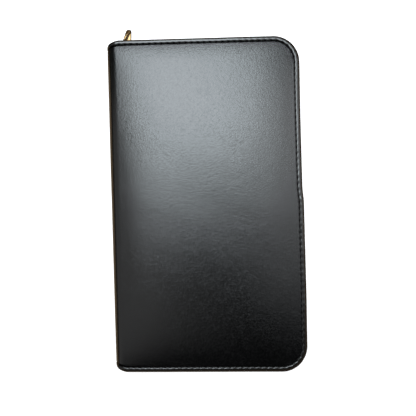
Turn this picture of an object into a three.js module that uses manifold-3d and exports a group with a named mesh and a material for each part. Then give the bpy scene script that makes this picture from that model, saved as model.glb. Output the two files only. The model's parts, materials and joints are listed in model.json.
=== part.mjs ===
// A zip-around travel document organizer in black leather, closed and lying on its back cover.
// Millimetres. +Z is up, +Y points to the top edge where the zip closes, the spine is at -X and
// the fore edge at +X. The origin is the middle of the underside of the back cover.
import * as THREE from "three";
import { mergeVertices } from "three/addons/utils/BufferGeometryUtils.js";
import Module from "manifold-3d";

const wasm = await Module();
wasm.setup();

// Driving dimensions of the closed organizer
const WIDTH = 132; // spine to fore edge
const HEIGHT = 230; // bottom edge to top edge
const THICKNESS = 24;
const SPINE_CORNER = 9.5; // radius of the two corners at the spine
const FORE_CORNER = 18; // radius of the two corners at the fore edge
const GAP = 0.3; // air between neighbouring layers
const CORNER_STEPS = 10; // straight steps along a rounded corner

// Layers of one cover, from the outside in
const LEATHER = 1.2;
const FOAM = 1.2;
const BOARD = 1;
const LINING = 0.5;

// The spine folds about two lines, each this far in from the outer faces
const FOLD = 2;
const SPINE_X = -WIDTH / 2;
const FOLD_X = SPINE_X + FOLD;
const COVER_START_X = FOLD_X + GAP;
const INNER_START_X = -62.3; // where boards and linings begin, clear of the folding spine
const SPINE_LENGTH = 214;

// How far each layer stays in from the cover's edge
const BINDING_OUTER_INSET = 0.6;
const BINDING_INNER_INSET = 3.2;
const FOAM_INSET = 5;
const BOARD_INSET = 3.6;
const LINING_INSET = 4.2;

// The zip: its tapes stand upright between the covers and its teeth meet half way up
const ZIP_INSET = 7.4; // from the cover's edge to the middle of the tape
const TAPE = 0.8;
const TAPE_END_X = -62;
const TEETH_END_X = -59.3;
const TEETH_THICK = 2.6;
const TEETH_TALL = 1.9;
const TEETH_HALF_GAP = 0.6; // half of the gap between the two rows, where the slider's post runs
const STOP_LENGTH = 1.6;

// The slider and what hangs from it
const SLIDER_X = -55.3;
const SLIDER_LENGTH = 10.4;
const SLIDER_NOSE = 7.8;
const SLIDER_TAIL = 6.4;
const PLATE = 1;
const PLATE_INNER = 1.6; // from the middle of the tape to a plate's inner face
const POST_LENGTH = 2.6;
const POST_TALL = 0.6;
const LIP_TALL = 0.8;
const LIP_REACH = 0.9;
const BRIDGE_RADIUS = 0.65;
const BRIDGE_SPAN = 6.6;
const BRIDGE_Y = 4.65; // from the middle of the tape to the middle of the bridge
const LINK_INNER = 1;
const LINK_WIRE = 0.45; // wire radius
const LINK_CENTRES = 2.3; // from the bridge's axis to the pull's axis
const PULL_THICK = 1.1;
const PULL_HEAD = 3.5; // radius of the pull's round head
const PULL_TIP = 2;
const PULL_LENGTH = 18.4; // from the pull's axis to its tip
const PULL_HOLE = 0.85;
const PULL_LEAN = 6; // degrees that the pull leans towards the fore edge
const PULL_DROP = 29; // degrees below level, so that its tip lies just over the table

// Pockets: thin leather and fabric panels inside the covers
const POCKET = 0.7;
const CARD_POCKET = 0.6;
const CARD_POCKETS = 4;
const CARD_STEP = 18; // how far each card pocket's mouth lies below the one behind it
const PEN_LOOP_RADIUS = 5.3;
const PEN_LOOP_WALL = 0.8;
const PEN_LOOP_LENGTH = 25;

const ZIP_Y = HEIGHT / 2 - ZIP_INSET;
const MIDDLE_Z = THICKNESS / 2;
const DEGREE = Math.PI / 180;

const LOOKS = {
  leather: { color: 0x17171a, roughness: 0.42, metalness: 0 },
  edging: { color: 0x1c1b1d, roughness: 0.5, metalness: 0 },
  foam: { color: 0x4a4a4c, roughness: 0.95, metalness: 0 },
  board: { color: 0x8a7458, roughness: 0.9, metalness: 0 },
  lining: { color: 0x2a2724, roughness: 0.85, metalness: 0 },
  tape: { color: 0x161617, roughness: 0.9, metalness: 0 },
  elastic: { color: 0x121213, roughness: 0.85, metalness: 0 },
  brass: { color: 0xb08a4a, roughness: 0.25, metalness: 1 },
};

const organizer = new THREE.Group();

function addPiece(name, geometry, look) {
  const piece = new THREE.Mesh(geometry, new THREE.MeshStandardMaterial(LOOKS[look]));
  piece.name = name;
  organizer.add(piece);
  return piece;
}

// A slab with the given outline between two heights
function slab(outline, low, high) {
  const made = new THREE.ExtrudeGeometry(outline, {
    depth: high - low,
    bevelEnabled: false,
    curveSegments: CORNER_STEPS,
  });
  return made.translate(0, 0, low);
}

function rectangle(left, bottom, right, top) {
  return new THREE.Shape([
    new THREE.Vector2(left, bottom),
    new THREE.Vector2(right, bottom),
    new THREE.Vector2(right, top),
    new THREE.Vector2(left, top),
  ]);
}

function arc(centreX, centreY, radius, from, to) {
  return Array.from({ length: CORNER_STEPS + 1 }, (_, i) => {
    const angle = from + ((to - from) * i) / CORNER_STEPS;
    return new THREE.Vector2(
      centreX + radius * Math.cos(angle),
      centreY + radius * Math.sin(angle),
    );
  });
}

// The line that lies `inset` inside the cover's edge: from the spine at the top, round the fore
// edge, to the spine at the bottom. It follows the spine corners only where `rounded` is true.
function edgeLine(inset, startX, rounded) {
  const foreX = WIDTH / 2 - FORE_CORNER;
  const foreY = HEIGHT / 2 - FORE_CORNER;
  const cornerX = SPINE_X + SPINE_CORNER;
  const cornerY = HEIGHT / 2 - SPINE_CORNER;
  const radius = SPINE_CORNER - inset;
  const cut = Math.acos(Math.max(-1, (startX - cornerX) / radius));
  const atSpine = rounded
    ? arc(cornerX, cornerY, radius, cut, Math.PI / 2)
    : [new THREE.Vector2(startX, HEIGHT / 2 - inset)];
  const upper = [...atSpine, ...arc(foreX, foreY, FORE_CORNER - inset, Math.PI / 2, 0)];
  const lower = upper.map((p) => new THREE.Vector2(p.x, -p.y)).reverse();
  return [...upper, ...lower];
}

function coverOutline(inset, startX) {
  return new THREE.Shape(edgeLine(inset, startX, true).reverse());
}

// A band that follows the three open edges between two insets
function edgeBand(outerInset, innerInset, startX, rounded) {
  const outer = edgeLine(outerInset, startX, rounded);
  const inner = edgeLine(innerInset, startX, rounded);
  return new THREE.Shape([...outer.reverse(), ...inner]);
}

function toSolid(geometry) {
  const bare = geometry.clone();
  bare.deleteAttribute("normal");
  bare.deleteAttribute("uv");
  const merged = mergeVertices(bare, 1e-4);
  return new wasm.Manifold(
    new wasm.Mesh({
      numProp: 3,
      vertProperties: merged.attributes.position.array,
      triVerts: new Uint32Array(merged.index.array),
    }),
  );
}

function toGeometry(solid) {
  const mesh = solid.getMesh();
  return new THREE.BufferGeometry()
    .setAttribute("position", new THREE.BufferAttribute(mesh.vertProperties, 3))
    .setIndex(new THREE.BufferAttribute(mesh.triVerts, 1));
}

function join(geometries) {
  const solids = geometries.map(toSolid);
  return toGeometry(solids.reduce((whole, next) => whole.add(next)));
}

function box(x0, x1, y0, y1, z0, z1) {
  const made = new THREE.BoxGeometry(x1 - x0, y1 - y0, z1 - z0);
  return made.translate((x0 + x1) / 2, (y0 + y1) / 2, (z0 + z1) / 2);
}

// Both covers are built as height ranges measured inwards from their outer face, and the front
// cover is the same stack turned over.
const backRange = (near, far) => [near, far];
const frontRange = (near, far) => [THICKNESS - far, THICKNESS - near];

// The layers of one cover
function addCover(side, range) {
  const foamFrom = LEATHER + GAP;
  const boardFrom = foamFrom + FOAM + GAP;
  const liningFrom = boardFrom + BOARD + GAP;
  const leather = coverOutline(0, COVER_START_X);
  const binding = edgeBand(BINDING_OUTER_INSET, BINDING_INNER_INSET, INNER_START_X, true);
  const foam = coverOutline(FOAM_INSET, INNER_START_X);
  const board = coverOutline(BOARD_INSET, INNER_START_X);
  const lining = coverOutline(LINING_INSET, INNER_START_X);
  addPiece(`${side}_leather_cover`, slab(leather, ...range(0, LEATHER)), "leather");
  addPiece(
    `${side}_edge_binding`,
    slab(binding, ...range(foamFrom, boardFrom + BOARD)),
    "edging",
  );
  addPiece(`${side}_foam_pad`, slab(foam, ...range(foamFrom, foamFrom + FOAM)), "foam");
  addPiece(
    `${side}_stiffener_board`,
    slab(board, ...range(boardFrom, boardFrom + BOARD)),
    "board",
  );
  addPiece(
    `${side}_lining`,
    slab(lining, ...range(liningFrom, liningFrom + LINING)),
    "lining",
  );
  return liningFrom + LINING;
}

// Tape, row of teeth and end stops of one half of the zip
function addZipHalf(side, range, stackTop) {
  const teethNear = MIDDLE_Z - TEETH_HALF_GAP - TEETH_TALL;
  const teethFar = MIDDLE_Z - TEETH_HALF_GAP;
  const tape = edgeBand(ZIP_INSET - TAPE / 2, ZIP_INSET + TAPE / 2, TAPE_END_X, false);
  const teeth = edgeBand(
    ZIP_INSET - TEETH_THICK / 2,
    ZIP_INSET + TEETH_THICK / 2,
    TEETH_END_X,
    false,
  );
  addPiece(`${side}_zip_tape`, slab(tape, ...range(stackTop + GAP, teethNear - GAP)), "tape");
  addPiece(`${side}_zip_teeth`, slab(teeth, ...range(teethNear, teethFar)), "brass");
  for (const [end, y] of [["top", ZIP_Y], ["bottom", -ZIP_Y]]) {
    const stopEnd = TEETH_END_X - GAP;
    const half = TEETH_THICK / 2;
    const stop = rectangle(stopEnd - STOP_LENGTH, y - half, stopEnd, y + half);
    addPiece(`${side}_zip_${end}_stop`, slab(stop, ...range(teethNear, teethFar)), "brass");
  }
}

function addSpine() {
  const half = SPINE_LENGTH / 2;
  const foldGap = FOLD + GAP;
  const boardX = SPINE_X + LEATHER + GAP;
  const liningX = boardX + BOARD + GAP;
  const innerZ = FOLD + 1.5; // board and lining stop short of both folds
  const wall = (x, thick, z) => box(x, x + thick, -half, half, z, THICKNESS - z);
  addPiece("spine_leather", wall(SPINE_X, LEATHER, foldGap), "leather");
  addPiece("spine_stiffener", wall(boardX, BOARD, innerZ), "board");
  addPiece("spine_lining", wall(liningX, LINING, innerZ), "lining");
}

// The long pocket and the shorter passport pocket on the back cover
function addDocumentPockets(stackTop) {
  const longLow = stackTop + GAP;
  const shortLow = longLow + POCKET + GAP;
  const long = rectangle(-46, -104, 55, 96);
  const short = rectangle(-46, -103, 54, 15);
  addPiece("document_pocket", slab(long, longLow, longLow + POCKET), "lining");
  addPiece("passport_pocket", slab(short, shortLow, shortLow + POCKET), "leather");
}

// The ticket pocket and the stepped card pockets on the front cover
function addFrontPockets(stackTop) {
  const ticketFrom = stackTop + GAP;
  const ticket = rectangle(-46, -104, 55, 98);
  addPiece("ticket_pocket", slab(ticket, ...frontRange(ticketFrom, ticketFrom + POCKET)), "lining");
  for (let i = 0; i < CARD_POCKETS; i += 1) {
    const near = ticketFrom + POCKET + GAP + i * (CARD_POCKET + GAP);
    const mouth = 10 - i * CARD_STEP;
    const card = rectangle(-44, -100, 53, mouth);
    addPiece(`card_pocket_${i + 1}`, slab(card, ...frontRange(near, near + CARD_POCKET)), "leather");
  }
}

// An elastic tube beside the spine, lying along it
function addPenLoop(stackTop) {
  const ring = new THREE.Shape().absarc(0, 0, PEN_LOOP_RADIUS, 0, 2 * Math.PI);
  ring.holes.push(
    new THREE.Path().absarc(0, 0, PEN_LOOP_RADIUS - PEN_LOOP_WALL, 0, 2 * Math.PI, true),
  );
  const loop = new THREE.ExtrudeGeometry(ring, {
    depth: PEN_LOOP_LENGTH,
    bevelEnabled: false,
    curveSegments: 12,
  });
  const piece = addPiece("pen_loop", loop, "elastic");
  piece.rotation.x = Math.PI / 2;
  piece.position.set(-53.5, 40, stackTop + GAP + PEN_LOOP_RADIUS);
}

// Slider plate: wide at the nose (towards the spine), narrower at the tail
function sliderPlate(nearY) {
  const nose = -SLIDER_LENGTH / 2;
  const tail = SLIDER_LENGTH / 2;
  const outline = new THREE.Shape()
    .moveTo(nose, -SLIDER_NOSE / 2 + 1)
    .lineTo(nose + 1, -SLIDER_NOSE / 2)
    .lineTo(tail - 1, -SLIDER_TAIL / 2)
    .lineTo(tail, -SLIDER_TAIL / 2 + 1)
    .lineTo(tail, SLIDER_TAIL / 2 - 1)
    .lineTo(tail - 1, SLIDER_TAIL / 2)
    .lineTo(nose + 1, SLIDER_NOSE / 2)
    .lineTo(nose, SLIDER_NOSE / 2 - 1);
  const plate = slab(outline, 0, PLATE);
  return plate.rotateX(Math.PI / 2).translate(0, nearY + PLATE, 0);
}

// The bow over the outer plate that the link hangs on
function sliderBridge() {
  const half = BRIDGE_SPAN / 2;
  const footY = PLATE_INNER + PLATE / 2;
  const path = new THREE.CatmullRomCurve3(
    [
      new THREE.Vector3(-half, footY, 0),
      new THREE.Vector3(-half, (footY + BRIDGE_Y) / 2, 0),
      new THREE.Vector3(-half + 1.2, BRIDGE_Y, 0),
      new THREE.Vector3(0, BRIDGE_Y, 0),
      new THREE.Vector3(half - 1.2, BRIDGE_Y, 0),
      new THREE.Vector3(half, (footY + BRIDGE_Y) / 2, 0),
      new THREE.Vector3(half, footY, 0),
    ],
    false,
    "catmullrom",
    0.5,
  );
  const section = new THREE.Shape().absarc(0, 0, BRIDGE_RADIUS, 0, 2 * Math.PI);
  return new THREE.ExtrudeGeometry(section, { extrudePath: path, steps: 18, curveSegments: 4 });
}

// Two plates joined by a post at the nose, with lips under the lower row of teeth. There are no
// lips over the upper row, so the front cover can lift away from the slider.
function addSlider() {
  const nose = -SLIDER_LENGTH / 2;
  const lipLow = -TEETH_HALF_GAP - TEETH_TALL - GAP - LIP_TALL;
  const postStart = nose + 0.8;
  const post = box(
    postStart, postStart + POST_LENGTH,
    -PLATE_INNER - PLATE / 2, PLATE_INNER + PLATE / 2,
    -POST_TALL / 2, POST_TALL / 2,
  );
  const lips = [-1, 1].map((side) => {
    const near = side * (PLATE_INNER - LIP_REACH);
    const far = side * (PLATE_INNER + PLATE / 2);
    return box(
      nose + 1, -nose - 1,
      Math.min(near, far), Math.max(near, far),
      lipLow, lipLow + LIP_TALL,
    );
  });
  const plates = [sliderPlate(PLATE_INNER), sliderPlate(-PLATE_INNER - PLATE)];
  const body = addPiece("slider_body", join([...plates, post, ...lips, sliderBridge()]), "brass");
  body.position.set(SLIDER_X, ZIP_Y, MIDDLE_Z);
}

// A closed wire link with one round end about the bridge and the other about the pull's axis
function addLink() {
  const radius = LINK_INNER + LINK_WIRE;
  const top = arc(0, 0, radius, 0, Math.PI);
  const bottom = arc(0, -LINK_CENTRES, radius, Math.PI, 2 * Math.PI);
  const path = new THREE.CatmullRomCurve3(
    [...top, ...bottom].map((p) => new THREE.Vector3(0, p.x, p.y)),
    true,
    "centripetal",
  );
  const section = new THREE.Shape().absarc(0, 0, LINK_WIRE, 0, 2 * Math.PI);
  const wire = new THREE.ExtrudeGeometry(section, {
    extrudePath: path,
    steps: 40,
    curveSegments: 4,
  });
  const solid = toSolid(wire);
  const link = addPiece("pull_link", toGeometry(solid), "brass");
  link.position.set(SLIDER_X, ZIP_Y + BRIDGE_Y, MIDDLE_Z);
}

// The pull: a teardrop plate, round at its head and narrow at its tip, with a hole for the link
function addPull() {
  const tipCentre = PULL_LENGTH - PULL_TIP;
  const headCentre = PULL_HEAD - (LINK_INNER - LINK_WIRE);
  const reach = Math.asin((PULL_HEAD - PULL_TIP) / (tipCentre - headCentre));
  const outline = new THREE.Shape([
    ...arc(0, headCentre, PULL_HEAD, Math.PI - reach, 2 * Math.PI + reach),
    ...arc(0, tipCentre, PULL_TIP, reach, Math.PI - reach),
  ]);
  const holeCentre = LINK_INNER + LINK_WIRE;
  outline.holes.push(new THREE.Path().absarc(0, holeCentre, PULL_HOLE, 0, 2 * Math.PI, true));
  const bevel = 0.25;
  const plate = new THREE.ExtrudeGeometry(outline, {
    depth: PULL_THICK - 2 * bevel,
    bevelThickness: bevel,
    bevelSize: bevel,
    bevelOffset: -bevel,
    bevelSegments: 1,
    curveSegments: 6,
  });
  plate.translate(0, 0, bevel - PULL_THICK / 2);
  plate.rotateZ(-PULL_LEAN * DEGREE);
  plate.rotateX(-PULL_DROP * DEGREE);
  const pull = addPiece("pull_tab", plate, "brass");
  pull.position.set(SLIDER_X, ZIP_Y + BRIDGE_Y, MIDDLE_Z - LINK_CENTRES);
}

const stackTop = addCover("back", backRange);
addCover("front", frontRange);
addSpine();
addZipHalf("back", backRange, stackTop);
addZipHalf("front", frontRange, stackTop);
addDocumentPockets(stackTop);
addPenLoop(stackTop);
addFrontPockets(stackTop);
addSlider();
addLink();
addPull();

export default organizer;
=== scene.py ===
import json
import math

import bmesh
import bpy
import numpy as np
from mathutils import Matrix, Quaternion, Vector


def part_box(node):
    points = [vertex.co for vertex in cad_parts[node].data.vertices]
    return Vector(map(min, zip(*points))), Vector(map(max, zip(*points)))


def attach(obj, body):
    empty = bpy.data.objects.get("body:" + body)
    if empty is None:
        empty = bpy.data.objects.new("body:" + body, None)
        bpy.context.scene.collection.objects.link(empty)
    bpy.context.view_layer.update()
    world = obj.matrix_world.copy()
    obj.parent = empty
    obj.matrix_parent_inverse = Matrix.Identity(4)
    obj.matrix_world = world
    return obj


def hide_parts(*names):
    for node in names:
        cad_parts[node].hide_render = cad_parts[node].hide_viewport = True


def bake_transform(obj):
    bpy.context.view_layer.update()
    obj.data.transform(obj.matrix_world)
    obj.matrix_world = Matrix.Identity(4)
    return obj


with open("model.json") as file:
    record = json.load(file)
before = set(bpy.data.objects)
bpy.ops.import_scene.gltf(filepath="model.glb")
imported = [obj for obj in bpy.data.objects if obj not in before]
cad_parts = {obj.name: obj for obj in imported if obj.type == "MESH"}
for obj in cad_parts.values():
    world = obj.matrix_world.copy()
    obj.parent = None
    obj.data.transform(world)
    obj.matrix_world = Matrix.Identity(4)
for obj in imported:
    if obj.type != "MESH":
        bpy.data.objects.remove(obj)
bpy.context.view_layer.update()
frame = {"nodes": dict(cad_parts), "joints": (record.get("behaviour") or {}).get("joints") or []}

# Lengths here are in millimetres, and add_piece turns them into metres.
MM = 0.001


def node_box(node):
    """Lowest and highest corner of a CAD node, in millimetres."""
    low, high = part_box(node)
    return np.array(low) / MM, np.array(high) / MM


# ---- The organizer's size, from the CAD ----
COVER_HIGH = node_box("front_leather_cover")[1]
SPINE_X = node_box("spine_leather")[0][0]
FORE_X = COVER_HIGH[0]
HALF_HEIGHT = COVER_HIGH[1] + 0.35  # the soft edging stands out beyond the CAD's cover
TOP_Z = COVER_HIGH[2]
MIDDLE_Z = TOP_Z / 2
TAPE_BOTTOM_Z = node_box("front_zip_tape")[0][2]
TEETH_TOP_Z = node_box("front_zip_teeth")[1][2]

# ---- The leather's shape ----
BEND = 8.0  # radius of the soft bend from a cover into the spine
BEND_X = SPINE_X + BEND
BEND_POWER = 3.3  # the bend is a superellipse of this power, fuller than a circle
FORE_CORNER = 18.0  # radius of the two corners at the fore edge
SPINE_BULGE = 1.1  # how far the soft spine stands proud of the stiffened one
SPINE_END_DROP = 4.0  # how far the spine's ends lie inside the covers' ends
MID_SPINE = BEND_X - BEND * math.pi / 2 - (MIDDLE_Z - BEND)  # unrolled place of the spine's middle
STITCH_INSET = {"top": 2.95, "side": 3.5, "bottom": 3.5}
PATCH_INSET = 12.0  # the edge's fine rings end here and the open field begins
LINING_INSET = 7.0
SPINE_LINING_INSET = 4.2  # there is no zip beside the spine
LINING_DEPTH = 4.35  # below the leather's face, which clears the stiffening boards
SPINE_LINING_DEPTH = 3.0
EDGING_WIDTH = 3.4  # usual width of the edging on the face, to measure along its section
LIP = 2.75  # the edging's lip inside the organizer, for each unit of its section
SPACING = 0.6  # between points along the edge
GROOVE = 0.3  # depth of the panel's dip along the stitch line
GROOVE_WIDTH = 0.2
CROWN = 1.3  # height of the padding's swell
ROLL_OFF = {"top": 1.3, "side": 0.35, "bottom": 0.6}  # how much thinner the padding is at its rim
ROLL_OFF_WIDTH = 9.0  # how far inside the stitches that thinning reaches
SPINE_ROLL_OFF = 0.6
SPINE_ROLL_OFF_WIDTH = 14.0
LOWER_ROLL_OFF = 1.2  # the extra share of the spine's roll-off lower down
LOWER_FROM_Y = 80.0
LOWER_OVER = 60.0
LEATHER = 1.0  # thickness
STITCH_PITCH = 4.2
STITCH_LENGTH = 3.0
THREAD = 0.29  # radius
JOIN_STEP = 0.75  # the edging's end laps outside its beginning half way up the fore edge
JOIN_TOP_Y = 12.0
JOIN_BOTTOM_Y = -1.0
JOIN_FADE = 40.0  # the step at the join has faded this far before the corners
OUT_OF_SQUARE = 1.7  # how far the bottom edge has pulled down at the fore edge and up at the spine

# ---- The zip ----
ZIP_INSET = 7.4
ZIP_Y = COVER_HIGH[1] - ZIP_INSET
TOOTH_PITCH = 2.4
TOOTH_LENGTH = 1.1
TOOTH_PROUD = 0.05  # beyond the CAD teeth
TEETH_START_X = -59.2
INTERLEAVE = 0.45  # how far each row of teeth reaches past the middle
RUN_GAP = 0.42  # half of the gap between the rows where the slider runs
RUN_END_X = 52.0
TAPE = 0.6
TAPE_END_X = -62.0
TAPE_CURL = 2.1  # radius in which the tape's ends turn inwards

# ---- The pull ----
PULL_HEAD = 3.5
PULL_TIP = 2.0
PULL_LENGTH = 18.4
PULL_HOLE = 0.85
PULL_LEAN = math.radians(6)
PULL_DROP = math.radians(29)
PULL_EDGE = 0.3  # half thickness at the rim
PULL_RIDGE = 1.2  # half thickness along the ridge
PULL_RIDGE_X = (0.0, -2.1, 0.7)  # the ridge starts at the eye, swings aside and ends at the tip

# ---- Floor ----
TABLE_GLOW = (0.75, 0.52, 0.32)
TABLE_SHADE = (0.16, 0.11, 0.07)
DARK_ROOM = (0.01, 0.01, 0.01)
WALL_GLOW = 0.3


def smoothstep(value):
    held = np.clip(value, 0, 1)
    return held * held * (3 - 2 * held)


# ---------------------------------------------------------------- materials


class Look:
    """A material under construction, with short names for the nodes it uses."""

    def __init__(self, name, colour, roughness, metallic=0.0):
        self.material = bpy.data.materials.new(name)
        self.material.use_nodes = True
        self.tree = self.material.node_tree
        self.shader = self.tree.nodes["Principled BSDF"]
        self.set("Base Color", (*colour, 1))
        self.set("Roughness", roughness)
        self.set("Metallic", metallic)

    def set(self, socket, value):
        self.shader.inputs[socket].default_value = value

    def link(self, output, socket):
        self.tree.links.new(output, socket)

    def feed(self, socket, value):
        """Links an output to a socket, or sets the socket to a plain value."""
        if isinstance(value, bpy.types.NodeSocket):
            self.link(value, socket)
        else:
            socket.default_value = value

    def node(self, kind, **inputs):
        made = self.tree.nodes.new(kind)
        for name, value in inputs.items():
            self.feed(made.inputs[name.replace("_", " ")], value)
        return made

    def place(self):
        """Where a point lies on its piece, in millimetres, before anything moves."""
        made = self.tree.nodes.new("ShaderNodeAttribute")
        made.attribute_name = "place"
        return made.outputs["Vector"]

    def attribute(self, name):
        made = self.tree.nodes.new("ShaderNodeAttribute")
        made.attribute_name = name
        return made.outputs["Fac"]

    def stretch(self, vector, scale):
        made = self.node("ShaderNodeMapping", Vector=vector, Scale=scale)
        return made.outputs["Vector"]

    def noise(self, vector, scale, detail=3.0, roughness=0.5):
        made = self.node(
            "ShaderNodeTexNoise", Vector=vector, Scale=scale, Detail=detail, Roughness=roughness
        )
        return made.outputs["Fac"]

    def cells(self, vector, scale):
        made = self.tree.nodes.new("ShaderNodeTexVoronoi")
        made.feature = "SMOOTH_F1"
        self.link(vector, made.inputs["Vector"])
        made.inputs["Scale"].default_value = scale
        made.inputs["Smoothness"].default_value = 0.25
        return made.outputs["Distance"]

    def bands(self, vector, scale, direction, distortion=0.0):
        made = self.node(
            "ShaderNodeTexWave", Vector=vector, Scale=scale, Distortion=distortion
        )
        made.bands_direction = direction
        return made.outputs["Fac"]

    def maths(self, operation, first, second=0.0):
        made = self.tree.nodes.new("ShaderNodeMath")
        made.operation = operation
        for socket, value in zip(made.inputs, (first, second)):
            self.feed(socket, value)
        return made.outputs[0]

    def plus(self, first, second, share):
        return self.maths("ADD", first, self.maths("MULTIPLY", second, share))

    def ramp(self, value, low, high, low_to, high_to):
        made = self.node("ShaderNodeMapRange", Value=value)
        made.inputs["From Min"].default_value = low
        made.inputs["From Max"].default_value = high
        made.inputs["To Min"].default_value = low_to
        made.inputs["To Max"].default_value = high_to
        return made.outputs["Result"]

    def mix(self, share, first, second):
        made = self.tree.nodes.new("ShaderNodeMix")
        made.data_type = "RGBA"
        factor, _, _, _, _, _, one, two = made.inputs[:8]
        self.link(share, factor)
        for socket, value in ((one, first), (two, second)):
            self.feed(socket, (*value, 1) if isinstance(value, tuple) else value)
        return made.outputs["Result"]

    def colour(self, output):
        self.link(output, self.shader.inputs["Base Color"])

    def roughness(self, output):
        self.link(output, self.shader.inputs["Roughness"])

    def bump(self, height, depth_mm, strength=1.0):
        made = self.node(
            "ShaderNodeBump", Height=height, Distance=depth_mm * MM, Strength=strength
        )
        self.link(made.outputs["Normal"], self.shader.inputs["Normal"])


def leather(name, colour, scuffed_and_reflected_tint, roughness, grain_mm, depth_mm):
    """Pebbled leather: cells of grain, finer creases over them, and a brown tint by a point attribute:
    scuffing on the edging's roll, and over the spine's bend partly scuffing, partly a painted
    reflection of a warm table.
    """
    look = Look(name, colour, roughness)
    place = look.place()
    warped = look.noise(place, 0.9 / grain_mm, 2.0)
    pebbles = look.cells(place, 1 / grain_mm)
    creases = look.noise(place, 4.5 / grain_mm, 4.0, 0.6)
    height = look.maths("MULTIPLY", pebbles, -0.55)
    for pattern, share in ((creases, 0.7), (warped, 0.05)):
        height = look.plus(height, pattern, share)
    cloudy = look.noise(place, 0.035, 3.0)
    # Brown tint: scuffing, and over the spine's bend also a painted reflection of a warm table
    scuff_and_reflection = look.maths("MULTIPLY", look.attribute("scuff_and_reflection"), look.ramp(creases, 0.35, 0.7, 0.5, 1.0))
    tone = look.mix(cloudy, tuple(0.75 * c for c in colour), tuple(1.3 * c for c in colour))
    look.colour(look.mix(scuff_and_reflection, tone, scuffed_and_reflected_tint))
    uneven = look.ramp(look.noise(place, 0.12, 4.0), 0.3, 0.7, roughness - 0.01, roughness + 0.01)
    grainy = look.plus(uneven, pebbles, 0.12)
    look.roughness(grainy)
    look.bump(height, depth_mm)
    return look


def cover_leather():
    # The second colour is a brown tint: scuffing, and over the spine's bend also a painted reflection
    # of a warm table
    look = leather(
        "black_pebbled_leather", (0.0018, 0.0018, 0.0019), (0.02, 0.013, 0.008), 0.13, 1.3, 0.058
    )
    look.set("Specular IOR Level", 0.72)
    return look.material


def edge_leather():
    look = leather(
        "black_edging_leather", (0.004, 0.0037, 0.0035), (0.05, 0.032, 0.018), 0.15, 0.7, 0.012
    )
    look.set("Specular IOR Level", 0.7)
    return look.material


def pocket_leather():
    look = leather(
        "black_smooth_leather", (0.012, 0.0115, 0.011), (0.05, 0.035, 0.022), 0.42, 0.5, 0.02
    )
    return look.material


def woven(name, colour, thread, pitch_mm, depth_mm, roughness):
    """Plain weave: two sets of threads that pass over each other in turn."""
    look = Look(name, colour, roughness)
    place = look.place()
    scale = 1 / (pitch_mm * 2)
    across = look.bands(place, scale, "X", 0.4)
    along = look.bands(place, scale, "Y", 0.4)
    weave = look.maths("ABSOLUTE", look.maths("SUBTRACT", across, along))
    fuzz = look.noise(place, 5.0, 3.0)
    height = look.plus(weave, fuzz, 0.35)
    shade = look.maths("MULTIPLY", weave, look.ramp(look.noise(place, 0.08), 0.3, 0.7, 0.7, 1.0))
    look.colour(look.mix(shade, colour, thread))
    look.roughness(look.ramp(fuzz, 0.2, 0.8, roughness - 0.06, roughness + 0.06))
    look.bump(height, depth_mm)
    return look


def lining_cloth():
    look = woven("charcoal_lining", (0.018, 0.016, 0.015), (0.05, 0.046, 0.043), 0.45, 0.09, 0.72)
    look.set("Sheen Weight", 0.15)
    return look.material


def zip_tape_cloth():
    """Twill tape: slanting ribs."""
    look = Look("black_zip_tape", (0.008, 0.008, 0.009), 0.8)
    place = look.place()
    ribs = look.bands(place, 0.42, "DIAGONAL", 0.3)
    cross = look.bands(place, 1.1, "Z", 0.2)
    fuzz = look.noise(place, 6.0)
    height = look.plus(ribs, cross, 0.5)
    height = look.plus(height, fuzz, 0.3)
    look.colour(look.mix(ribs, (0.006, 0.006, 0.007), (0.02, 0.02, 0.021)))
    look.roughness(look.ramp(fuzz, 0.2, 0.8, 0.72, 0.88))
    look.bump(height, 0.08)
    look.set("Sheen Weight", 0.1)
    return look.material


def elastic_band():
    look = Look("black_elastic", (0.01, 0.01, 0.011), 0.75)
    place = look.place()
    cords = look.bands(place, 0.4, "Y", 0.15)
    fuzz = look.noise(place, 5.0)
    look.colour(look.mix(cords, (0.006, 0.006, 0.007), (0.028, 0.028, 0.03)))
    look.roughness(look.ramp(fuzz, 0.2, 0.8, 0.65, 0.85))
    look.bump(look.plus(cords, fuzz, 0.3), 0.12)
    return look.material


def sewing_thread():
    """Twisted thread with a slight shine."""
    look = Look("black_thread", (0.006, 0.006, 0.006), 0.45)
    place = look.place()
    twist = look.bands(place, 1.4, "DIAGONAL", 0.4)
    look.colour(look.mix(twist, (0.004, 0.004, 0.004), (0.018, 0.017, 0.016)))
    look.roughness(look.ramp(twist, 0, 1, 0.38, 0.55))
    look.bump(twist, 0.06)
    return look.material


def brass(name, colour, tarnish, roughness):
    look = Look(name, colour, roughness, 1.0)
    place = look.place()
    scratches = look.noise(look.stretch(place, (6.0, 0.7, 6.0)), 2.0, 5.0, 0.65)
    clouds = look.noise(place, 0.35, 4.0)
    look.colour(look.mix(look.ramp(clouds, 0.45, 0.75, 0.0, 1.0), colour, tarnish))
    look.roughness(look.ramp(scratches, 0.3, 0.75, roughness - 0.05, roughness + 0.12))
    look.bump(scratches, 0.006)
    return look.material


def fibre_board():
    look = Look("grey_fibre_board", (0.2, 0.16, 0.12), 0.9)
    coordinates = look.tree.nodes.new("ShaderNodeTexCoord").outputs["Object"]
    fibres = look.noise(look.stretch(coordinates, (400, 1800, 900)), 1.0, 5.0)
    look.colour(look.mix(fibres, (0.12, 0.095, 0.07), (0.27, 0.22, 0.17)))
    look.roughness(look.ramp(fibres, 0.2, 0.8, 0.82, 0.95))
    look.bump(fibres, 0.08)
    return look.material


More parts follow.
